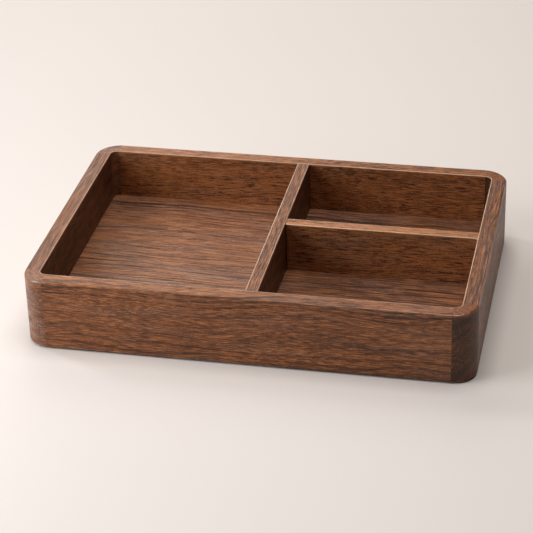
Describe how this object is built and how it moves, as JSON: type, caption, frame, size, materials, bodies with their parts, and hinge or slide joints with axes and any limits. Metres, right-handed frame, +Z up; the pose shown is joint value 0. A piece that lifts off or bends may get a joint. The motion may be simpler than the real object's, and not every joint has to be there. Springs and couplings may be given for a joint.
{
  "type": "desk organizer tray",
  "caption": "Low walnut tray with rounded corners and dividers that part it into long and short open compartments, for pens, clips and notes on a desk.",
  "frame": {"origin": "under the middle of the tray, in the plane of its pads' lower faces", "axes": "+X to the right along the long side, towards the divided side; +Y to the back; +Z up"},
  "size_m": [0.265, 0.18, 0.045],
  "materials": {
    "walnut_rails": "oiled satin",
    "walnut_corner_blocks": "oiled satin",
    "walnut_base_panel": "oiled satin",
    "walnut_dividers": "oiled satin",
    "beech_tongues": "bare",
    "rubber_pads": "matte"
  },
  "bodies": {
    "root": {"front_rail": "walnut_rails", "right_rail": "walnut_rails", "back_rail": "walnut_rails", "left_rail": "walnut_rails", "front_left_block": "walnut_corner_blocks", "front_right_block": "walnut_corner_blocks", "back_right_block": "walnut_corner_blocks", "back_left_block": "walnut_corner_blocks", "base_panel": "walnut_base_panel", "main_divider": "walnut_dividers", "cross_divider": "walnut_dividers", "front_left_tongue_in_front_rail": "beech_tongues", "front_left_tongue_in_left_rail": "beech_tongues", "front_right_tongue_in_right_rail": "beech_tongues", "front_right_tongue_in_front_rail": "beech_tongues", "back_right_tongue_in_back_rail": "beech_tongues", "back_right_tongue_in_right_rail": "beech_tongues", "back_left_tongue_in_left_rail": "beech_tongues", "back_left_tongue_in_back_rail": "beech_tongues", "front_left_pad": "rubber_pads", "front_right_pad": "rubber_pads", "back_right_pad": "rubber_pads", "back_left_pad": "rubber_pads"}
  },
  "joints": []
}
